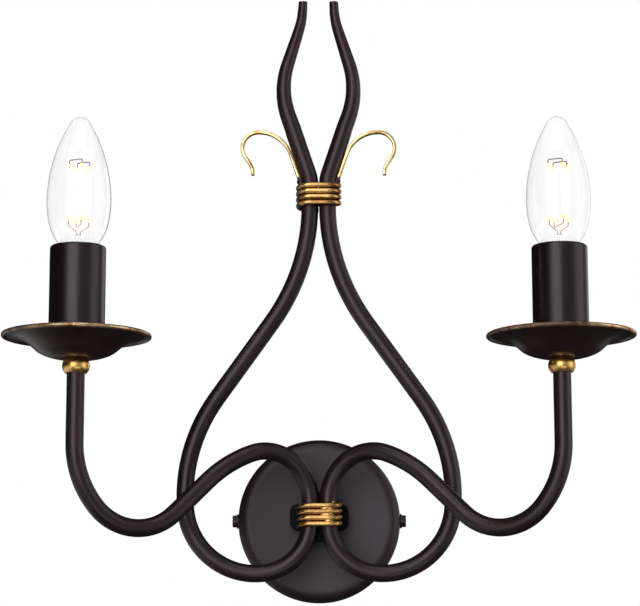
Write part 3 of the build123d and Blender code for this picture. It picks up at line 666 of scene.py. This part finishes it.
# braze that has run between three of the lower binding's turns, and a drop of it above them:
# place and radii in millimetres, seed and cuts
BRAZE_RUNS = (((4.2, -54.1, 4.5), (3.7, 0.95, 1.0), 1.3, 3),
              ((4.6, -54.1, 1.0), (3.5, 0.95, 1.0), 5.1, 3),
              ((5.4, -54.1, -2.5), (2.2, 0.95, 1.0), 7.7, 3),
              ((8.0, -52.6, 8.2), (0.7, 0.7, 0.7), 9.2, 2))
BRAZE_ROUGH = 0.3
braze = bmesh.new()
for centre, radii, seed, cuts in BRAZE_RUNS:
    lump(braze, centre, radii, seed, BRAZE_ROUGH, cuts)
add_mesh("braze_run", braze, "lamp", BRASS_WIRE)


# ---- floor -------------------------------------------------------------------------------------
FLOOR_HALF, FLOOR_Z = 6, -1.3
FLOOR_PALES = ((0.86, 0.86, 0.86), (0.89, 0.89, 0.89))
FLOOR_MIRRORED = (0.16, 0.16, 0.16)
LEFT_FLANK, RIGHT_FLANK = (-0.4, -2.0), (1.2, 3.5)      # x from no glow to all of it
FLANK_GLOW, RIGHT_SHARE = 0.65, 0.6
WHITE_NEAR, WHITE_GAIN, WHITE_FAR = 0.62, 0.31, (1.0, 5.0)

# The floor is white to the camera and through glass, more so far away, where it meets the
# backdrop. Polished metal and paint see it dark, with a glow far out on the left and right.
corners = [(x * FLOOR_HALF, y * FLOOR_HALF, FLOOR_Z)
           for x, y in ((-1, -1), (1, -1), (1, 1), (-1, 1))]
floor_mesh = bpy.data.meshes.new("floor")
floor_mesh.from_pydata(corners, [], [(0, 1, 2, 3)])
floor = bpy.data.objects.new("floor", floor_mesh)
bpy.context.scene.collection.objects.link(floor)
s = Shader("floor")
rays = s.add("ShaderNodeLightPath").outputs
seen = s.most(rays["Is Camera Ray"], rays["Is Transmission Ray"])
# rays that went through glass are glossy rays too, so they are taken out
mirrored = s.maths("SUBTRACT", rays["Is Glossy Ray"], rays["Is Transmission Ray"], clamp=True)
flanks = s.plus(s.step(s.x, *LEFT_FLANK), s.times(s.step(s.x, *RIGHT_FLANK), RIGHT_SHARE))
far = s.step(s.radius(0, 0), *WHITE_FAR)
white = s.times(seen, s.vary(far, WHITE_GAIN, WHITE_NEAR))
pale = s.mix(s.noise(3, 3), *FLOOR_PALES)
give(floor, s.set(color=s.mix(mirrored, pale, FLOOR_MIRRORED), rough=0.9, spec=0.1,
                  glow=(1.0, 1.0, 1.0),
                  glow_strength=s.vary(s.times(mirrored, flanks), FLANK_GLOW, white)))

# ---- backdrop ----------------------------------------------------------------------------------
LIT_WAY = (0.75, -0.65, 0.10)                        # towards the lit part, front right
LIT_SPREAD, LIT_LEVELS = (-0.10, 0.95), (0.02, 0.36)
ASIDE, BELOW, ASIDE_LEVEL = (0.35, 0.85), (-0.02, 0.10), 0.34
EVEN_LEVEL = 0.08

# It is white to the camera, through glass and inside it. Polished metal and paint see a dim
# studio: lit in front and to the right, and low on both sides. All else gets a dim even light.
world = bpy.data.worlds.new("studio")
bpy.context.scene.world = world
world.use_nodes = True
w = Nodes(world.node_tree)
w.tree.nodes.clear()
path = w.add("ShaderNodeLightPath").outputs
way_out = w.add("ShaderNodeTexCoord").outputs["Generated"]
toward = w.add("ShaderNodeVectorMath", operation="DOT_PRODUCT")
w.put(toward.inputs[0], way_out)
w.put(toward.inputs[1], LIT_WAY)
lit = w.step(toward.outputs["Value"], *LIT_SPREAD, *LIT_LEVELS)
split = w.add("ShaderNodeSeparateXYZ")
w.put(split.inputs[0], way_out)
aside = w.step(w.maths("ABSOLUTE", split.outputs[0]), *ASIDE)
below = w.step(w.times(split.outputs[2], -1.0), *BELOW)
low_sides = w.times(w.times(aside, below), ASIDE_LEVEL)
shiny = w.times(path["Is Glossy Ray"], w.most(lit, low_sides))
even = w.times(w.maths("SUBTRACT", 1.0, path["Is Glossy Ray"]), EVEN_LEVEL)
inside_glass = w.maths("GREATER_THAN", path["Transmission Depth"], 0.5)
clear = w.most(path["Is Camera Ray"], path["Is Transmission Ray"], inside_glass)
backdrop = w.add("ShaderNodeBackground")
w.put(backdrop.inputs["Strength"], w.most(clear, shiny, even))
w.put(backdrop.inputs["Color"], (1, 1, 1))
w.put(w.add("ShaderNodeOutputWorld").inputs[0], backdrop.outputs[0])

# ---- lamps: name, place, aim, size, watts ------------------------------------------------------
SOFTBOXES = (
    ("key", (-0.52, -1.62, 0.45), (0, -0.05, 0.12), (1.2, 1.7), 16),
    ("fill", (1.5, -0.35, 0.35), (0, -0.05, 0.1), (1.1, 1.6), 6),
    ("top", (0, -0.7, 1.4), (0, -0.05, 0.1), (1.0, 0.7), 4),
    ("low", (0.3, -1.5, -0.85), (0, -0.05, 0.05), (1.3, 0.5), 3),
    ("back", (1.3, 1.5, 0.5), (0, 0, 0.1), (1.1, 1.2), 4.5),
)
for name, place, aim, size, watts in SOFTBOXES:
    light = bpy.data.lights.new(name, "AREA")
    light.shape = "RECTANGLE"
    light.size, light.size_y = size
    light.energy = watts
    obj = bpy.data.objects.new(name, light)
    obj.location = place
    obj.rotation_euler = (Vector(aim) - Vector(place)).to_track_quat("-Z", "Y").to_euler()
    obj.visible_camera = obj.visible_transmission = False
    bpy.context.scene.collection.objects.link(obj)

# ---- camera: looks up at the lamp from below its middle ----------------------------------------
SENSOR_WIDTH = 36.0
PHOTO_WIDTH_PX, FOCAL_LENGTH_PX = 640, 2090.9
EYE = (0.000284, -1.250756, -0.087366)
LOOK_UP, LEAN = 10, 0.1      # degrees
NEAREST, FARTHEST = 0.05, 30
camera = bpy.data.cameras.new("camera")
camera.sensor_fit = "HORIZONTAL"
camera.sensor_width = SENSOR_WIDTH
camera.lens = SENSOR_WIDTH * FOCAL_LENGTH_PX / PHOTO_WIDTH_PX
camera.clip_start, camera.clip_end = NEAREST, FARTHEST
eye = bpy.data.objects.new("camera", camera)
bpy.context.scene.collection.objects.link(eye)
eye.location = EYE
eye.rotation_euler = (math.radians(90 + LOOK_UP), math.radians(LEAN), 0)
bpy.context.scene.camera = eye
bpy.context.scene.view_settings.view_transform = "Standard"
